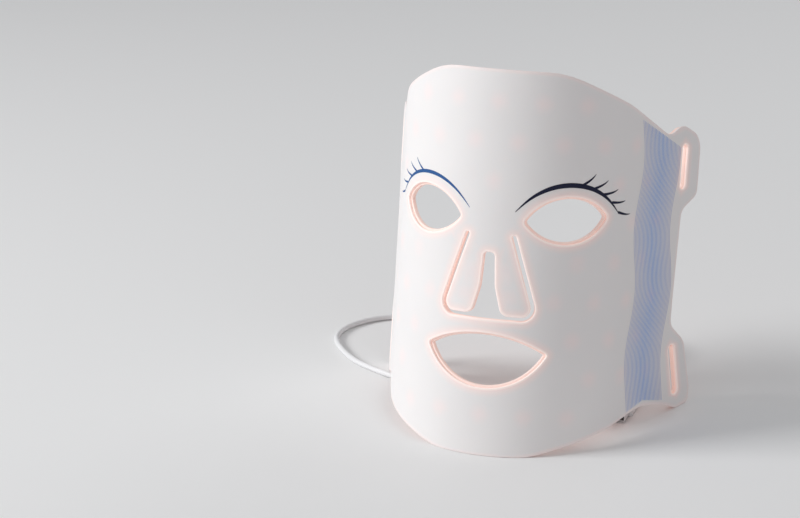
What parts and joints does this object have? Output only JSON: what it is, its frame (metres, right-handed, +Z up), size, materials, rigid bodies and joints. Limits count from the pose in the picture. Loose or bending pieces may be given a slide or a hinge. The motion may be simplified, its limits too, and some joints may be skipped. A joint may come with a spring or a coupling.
{
  "type": "led face mask",
  "caption": "Flexible silicone light therapy face mask with eye and mouth openings, two hinged nose lobes, strap tabs, rows of emitters and a USB supply cord.",
  "frame": {"origin": "under the middle of the mask's bounding box, on the surface it stands on", "axes": "+Z up, -Y out of the front of the face, +X to the right as seen from the front"},
  "size_m": [0.2353, 0.2051, 0.2126],
  "materials": {
    "cover_silicone": "satin",
    "liner_silicone": "translucent satin",
    "circuit_film": "satin",
    "emitter_lens": "clear gloss",
    "housing_plastic": "satin",
    "board_laminate": "satin",
    "chip_plastic": "matte",
    "contact_metal": "polished",
    "shell_steel": "brushed",
    "cord_jacket": "satin",
    "plug_plastic": "satin",
    "print_ink": "matte"
  },
  "bodies": {
    "mask": {"cord_coil": "cord_jacket", "cord_tail": "cord_jacket", "cord_tube": "cord_jacket", "driver_chip": "chip_plastic", "flex_circuit": "circuit_film", "front_cover": "cover_silicone", "housing_base": "housing_plastic", "housing_lid": "housing_plastic", "infrared_row_02": "emitter_lens", "infrared_row_05": "emitter_lens", "infrared_row_08": "emitter_lens", "inner_liner": "liner_silicone", "lead_pins": "contact_metal", "plug_body": "plug_plastic", "plug_boot": "cord_jacket", "plug_contacts": "contact_metal", "plug_shell": "shell_steel", "plug_tongue": "chip_plastic", "red_row_01": "emitter_lens", "red_row_03": "emitter_lens", "red_row_04": "emitter_lens", "red_row_06": "emitter_lens", "red_row_07": "emitter_lens", "red_row_09": "emitter_lens", "strain_relief": "cord_jacket", "terminal_board": "board_laminate"},
    "nose_lobe_right": {"nose_lobe_right_circuit": "circuit_film", "nose_lobe_right_cover": "cover_silicone", "nose_lobe_right_emitters": "emitter_lens", "nose_lobe_right_liner": "liner_silicone"},
    "nose_lobe_left": {"nose_lobe_left_circuit": "circuit_film", "nose_lobe_left_cover": "cover_silicone", "nose_lobe_left_emitters": "emitter_lens", "nose_lobe_left_liner": "liner_silicone"}
  },
  "joints": [
    {"name": "right_lobe_hinge", "type": "hinge", "parent": "mask", "child": "nose_lobe_right", "pos_m": [0.00989, -0.04874, 0.10958], "axis": [-0.9908, -0.1336, 0.0236], "range_deg": [0, 40], "stiffness_Nm_per_rad": 0.02},
    {"name": "left_lobe_hinge", "type": "hinge", "parent": "mask", "child": "nose_lobe_left", "pos_m": [-0.00989, -0.04874, 0.10958], "axis": [-0.9908, 0.1336, -0.0236], "range_deg": [0, 40], "stiffness_Nm_per_rad": 0.02}
  ]
}
